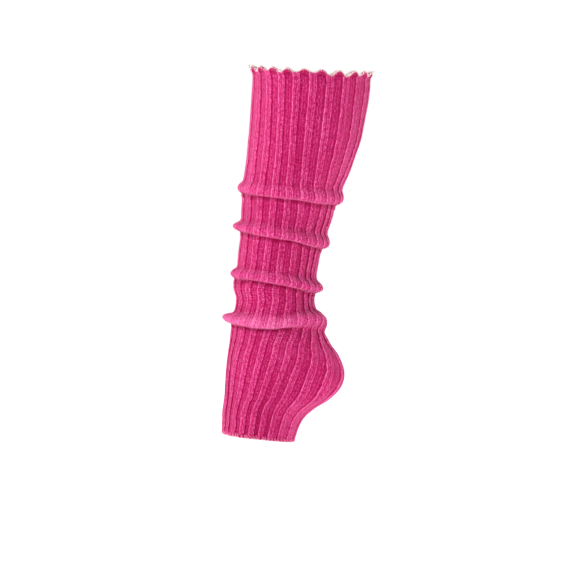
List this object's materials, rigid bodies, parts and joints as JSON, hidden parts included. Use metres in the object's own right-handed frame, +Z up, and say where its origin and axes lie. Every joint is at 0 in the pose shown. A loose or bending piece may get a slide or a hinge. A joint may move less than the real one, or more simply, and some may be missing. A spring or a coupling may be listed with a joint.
{
  "type": "leg warmer",
  "caption": "Ribbed knit leg warmer worn slouched: calf to mid foot, rolled folds at the ankle, lettuce top edge, hollow and open at both ends.",
  "frame": {"origin": "centre of the ring where the calf holds the cloth, 16 mm below the mean line of the top edge", "axes": "+Z up the leg, -Y towards the shin and the toes, +Y towards the heel, X from side to side"},
  "size_m": [0.1134, 0.1535, 0.3749],
  "materials": {
    "rib_knit": "matt acrylic rib knit, hot pink, slightly fuzzy",
    "overlock_thread": "soft spun thread, off-white"
  },
  "bodies": {
    "root": {"leg_tube": "rib_knit", "top_edge_thread": "overlock_thread", "hem_thread": "overlock_thread"}
  },
  "joints": []
}
